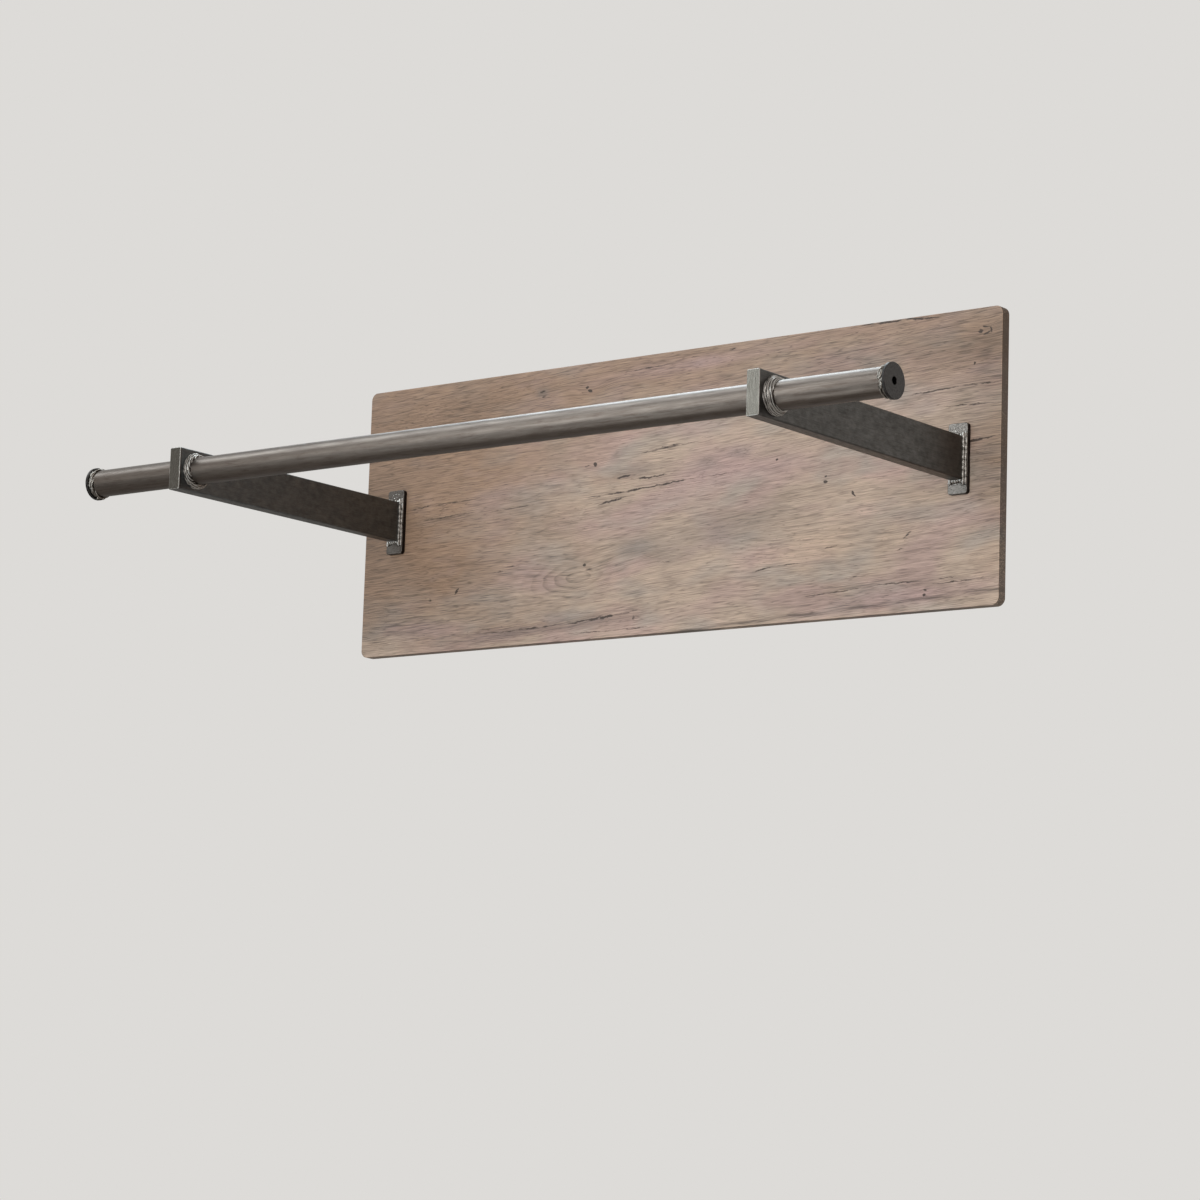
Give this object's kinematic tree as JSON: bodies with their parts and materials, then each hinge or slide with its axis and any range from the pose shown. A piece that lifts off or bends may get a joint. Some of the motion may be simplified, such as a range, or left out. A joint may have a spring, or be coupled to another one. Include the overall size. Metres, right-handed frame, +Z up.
{
  "type": "wall coat rack",
  "caption": "Wooden wall board with steel arms that carry a round hanging rail, with a disc at each rail end.",
  "frame": {"origin": "centre of the board's back face, on the wall", "axes": "+X along the rail to the viewer's right, +Y into the wall, +Z up; the rail stands out towards -Y"},
  "size_m": [1, 0.36, 0.296],
  "materials": {
    "board_wood": "weathered hardwood, matt",
    "frame_steel": "dark lacquered raw steel, ground",
    "rail_steel": "clear lacquered drawn steel tube, satin",
    "weld_metal": "bright bare weld bead",
    "zinc_hardware": "zinc plated"
  },
  "bodies": {
    "root": {"board": "board_wood", "left_mounting_plate": "frame_steel", "right_mounting_plate": "frame_steel", "left_arm": "frame_steel", "right_arm": "frame_steel", "left_arm_cap": "frame_steel", "right_arm_cap": "frame_steel", "rail_tube": "rail_steel", "left_end_disc": "frame_steel", "right_end_disc": "frame_steel", "left_plate_weld": "weld_metal", "right_plate_weld": "weld_metal", "left_arm_outer_weld": "weld_metal", "left_arm_inner_weld": "weld_metal", "right_arm_inner_weld": "weld_metal", "right_arm_outer_weld": "weld_metal", "left_end_weld": "weld_metal", "right_end_weld": "weld_metal", "plate_studs": "zinc_hardware", "stud_washers": "zinc_hardware", "stud_nuts": "zinc_hardware", "left_keyhole_hanger": "zinc_hardware", "right_keyhole_hanger": "zinc_hardware", "hanger_screws": "zinc_hardware"}
  },
  "joints": []
}
